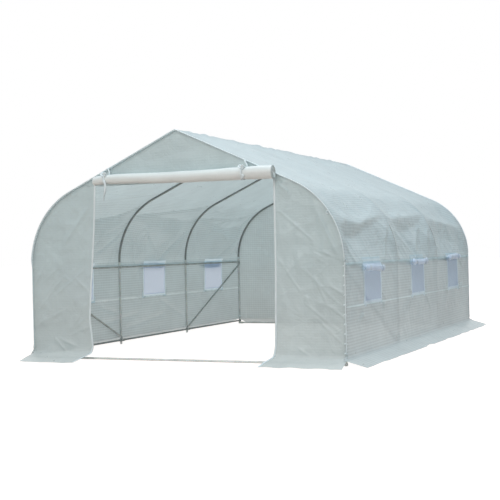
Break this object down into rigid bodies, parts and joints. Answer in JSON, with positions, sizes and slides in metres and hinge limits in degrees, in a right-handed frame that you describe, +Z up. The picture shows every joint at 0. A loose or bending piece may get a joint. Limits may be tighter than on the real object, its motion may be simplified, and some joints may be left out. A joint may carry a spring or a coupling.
{
  "type": "polytunnel greenhouse",
  "caption": "Walk-in polytunnel greenhouse: bent steel tube hoops under a white woven cover with net windows on both sides and a front door sheet rolled up.",
  "frame": {"origin": "middle of the footprint on the ground, under the ridge, halfway along the tunnel", "axes": "+Z up, +Y along the tunnel from the doorway to the closed back end, +X to the right as seen from outside the doorway"},
  "size_m": [3.4026, 4.9376, 1.9959],
  "materials": {
    "steel_tube": "dull zinc-coated tube",
    "steel_fitting": "dull zinc-coated fitting",
    "woven_cover": "milky translucent woven plastic sheet, satin",
    "woven_skirt": "milky translucent woven plastic sheet, satin",
    "rolled_sheet": "rolled woven plastic sheet, satin",
    "window_net": "fine insect net",
    "white_tape": "sewn white tape"
  },
  "bodies": {
    "root": {"back_ground_bar": "steel_tube", "back_hoop_legs": "steel_tube", "back_hoop_rafters": "steel_tube", "back_hoop_shoulders": "steel_tube", "back_panel": "woven_cover", "back_skirt": "woven_skirt", "door_bindings": "white_tape", "door_straps": "white_tape", "front_ground_bar": "steel_tube", "front_hoop_legs": "steel_tube", "front_hoop_rafters": "steel_tube", "front_hoop_shoulders": "steel_tube", "front_left_panel": "woven_cover", "front_right_panel": "woven_cover", "front_skirts": "woven_skirt", "gable_panel": "woven_cover", "left_braces": "steel_tube", "left_ground_bars": "steel_tube", "left_lower_wall": "woven_cover", "left_side_rails": "steel_tube", "left_skirt": "woven_skirt", "left_window_band": "woven_cover", "left_window_flaps": "rolled_sheet", "left_window_nets": "window_net", "left_window_trims": "white_tape", "ridge_fittings": "steel_fitting", "ridge_tubes": "steel_tube", "right_braces": "steel_tube", "right_ground_bars": "steel_tube", "right_lower_wall": "woven_cover", "right_side_rails": "steel_tube", "right_skirt": "woven_skirt", "right_window_band": "woven_cover", "right_window_flaps": "rolled_sheet", "right_window_nets": "window_net", "right_window_trims": "white_tape", "rolled_door": "rolled_sheet", "roof_cover": "woven_cover", "second_hoop_legs": "steel_tube", "second_hoop_rafters": "steel_tube", "second_hoop_shoulders": "steel_tube", "third_hoop_legs": "steel_tube", "third_hoop_rafters": "steel_tube", "third_hoop_shoulders": "steel_tube"}
  },
  "joints": []
}
